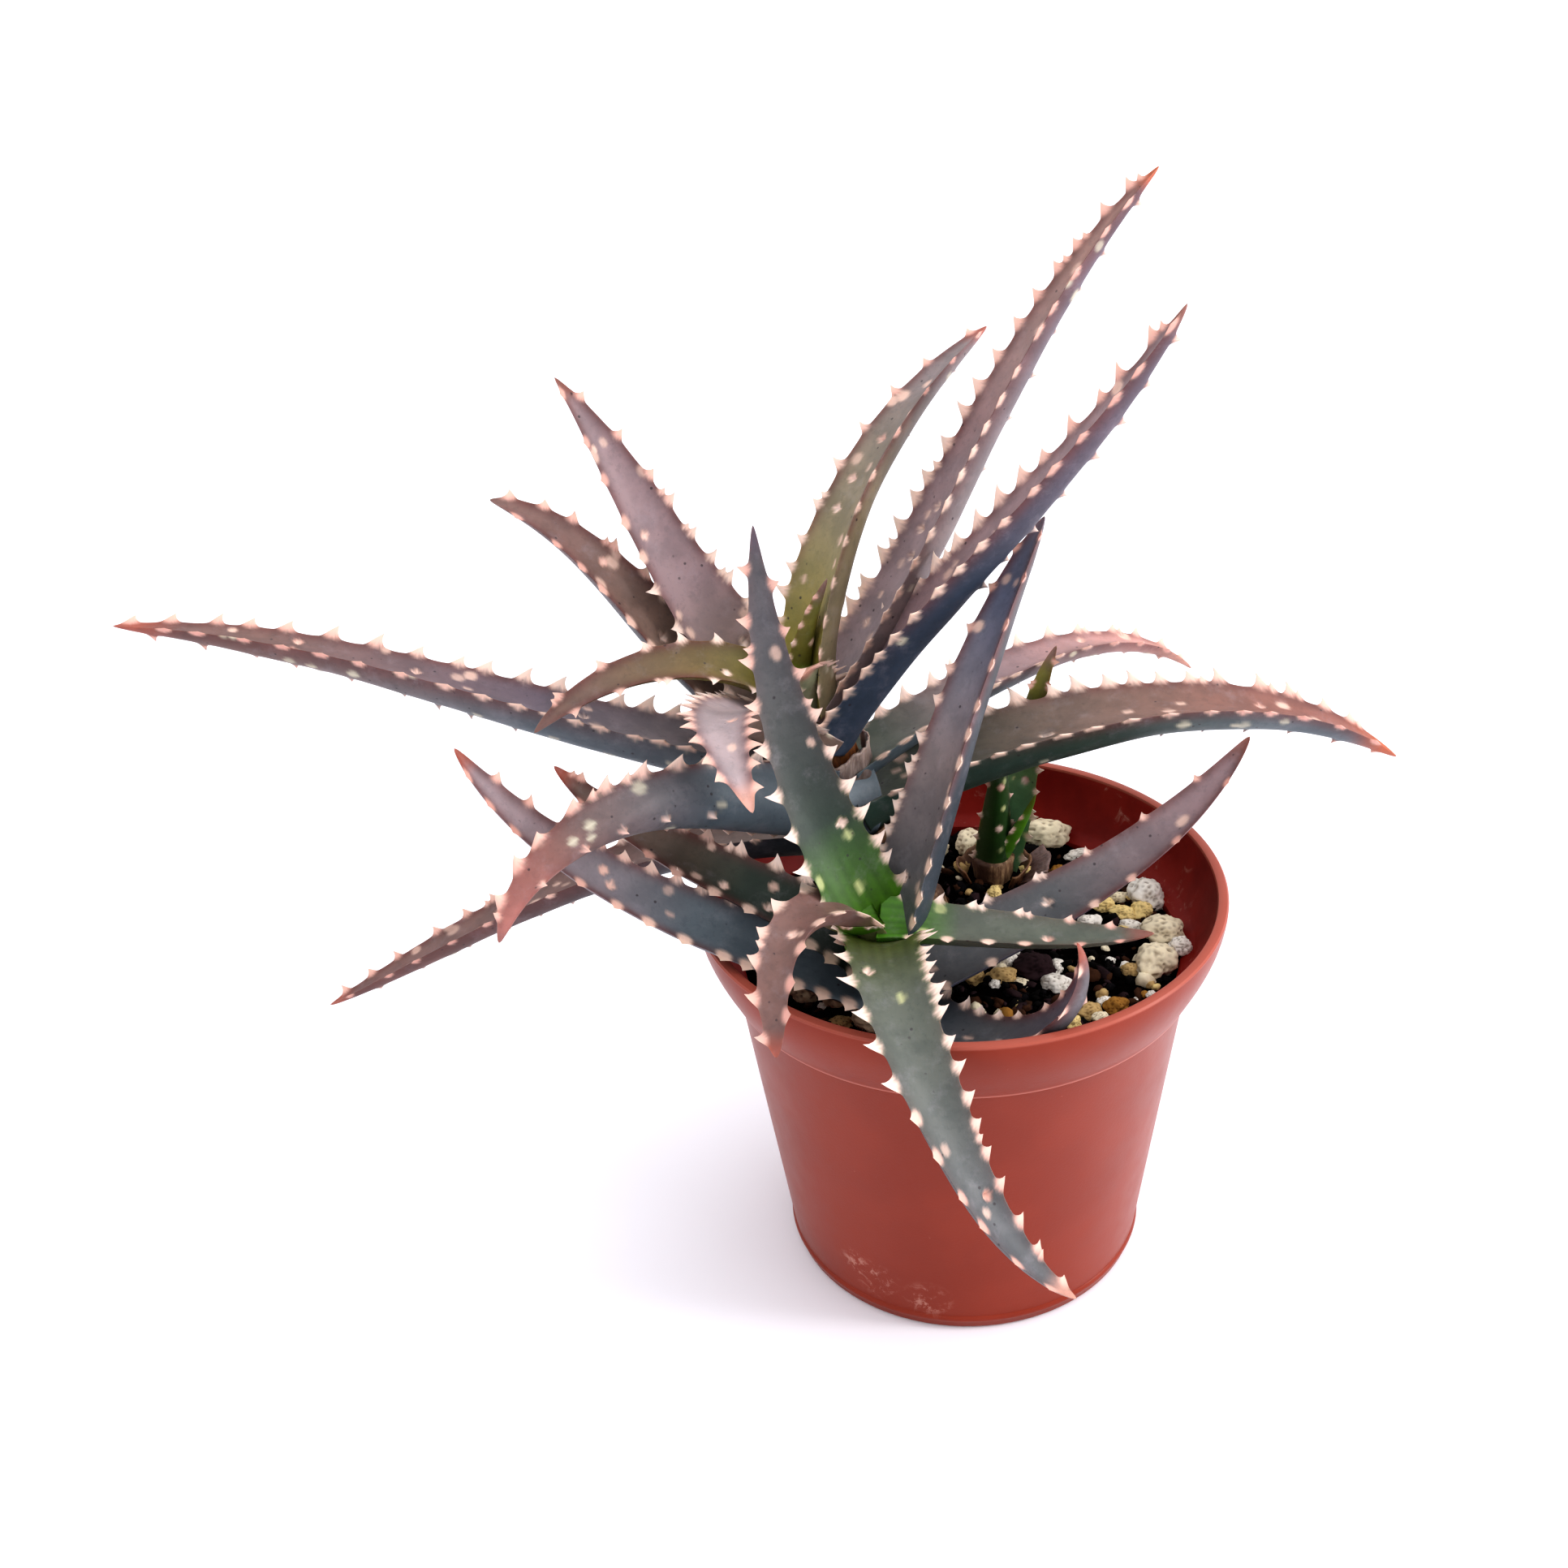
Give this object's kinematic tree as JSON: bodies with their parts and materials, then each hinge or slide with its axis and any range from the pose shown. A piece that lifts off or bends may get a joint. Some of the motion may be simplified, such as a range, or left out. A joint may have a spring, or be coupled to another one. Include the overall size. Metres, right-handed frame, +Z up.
{
  "type": "potted aloe",
  "caption": "Potted aloe hybrid with long, arched, pale-toothed leaves on leaning stems, rooted in gritty soil in a tapered plastic nursery pot.",
  "frame": {"origin": "centre of the pot's underside, on the surface that it stands on", "axes": "+Z up along the pot's axis, -Y the front, +X to the right of the front view"},
  "size_m": [0.2031, 0.1136, 0.1714],
  "materials": {
    "pot": "satin terracotta-coloured moulded plastic with faint scuffs",
    "soil": "matte dark potting mix with cream pumice and yellow-tan grit",
    "stem": "dry, tan to brown stem with papery leaf sheaths",
    "leaf": "fleshy grey-green to purple-brown leaf with a waxy bloom, cream spots and pinkish teeth",
    "young_leaf": "fleshy bright to mid green leaf with white teeth"
  },
  "bodies": {
    "root": {"pot": "pot", "soil": "soil", "stem_a": "stem", "stem_b": "stem", "stem_d": "stem", "leaf_a9": "young_leaf", "leaf_a3": "leaf", "leaf_a10": "young_leaf", "leaf_a1": "leaf", "leaf_a7": "leaf", "leaf_a4": "leaf", "leaf_a2": "leaf", "leaf_a5": "leaf", "leaf_a8": "leaf", "leaf_a14": "leaf", "leaf_a6": "leaf", "leaf_a13": "leaf", "leaf_a12": "leaf", "leaf_a11": "leaf", "leaf_a15": "leaf", "leaf_b9": "young_leaf", "leaf_b3": "leaf", "leaf_b1": "leaf", "leaf_b5": "leaf", "leaf_b2": "leaf", "leaf_b6": "leaf", "leaf_b8": "leaf", "leaf_b4": "leaf", "leaf_b7": "leaf", "leaf_b10": "leaf", "leaf_d1": "young_leaf", "leaf_d2": "young_leaf", "leaf_d3": "young_leaf"}
  },
  "joints": []
}
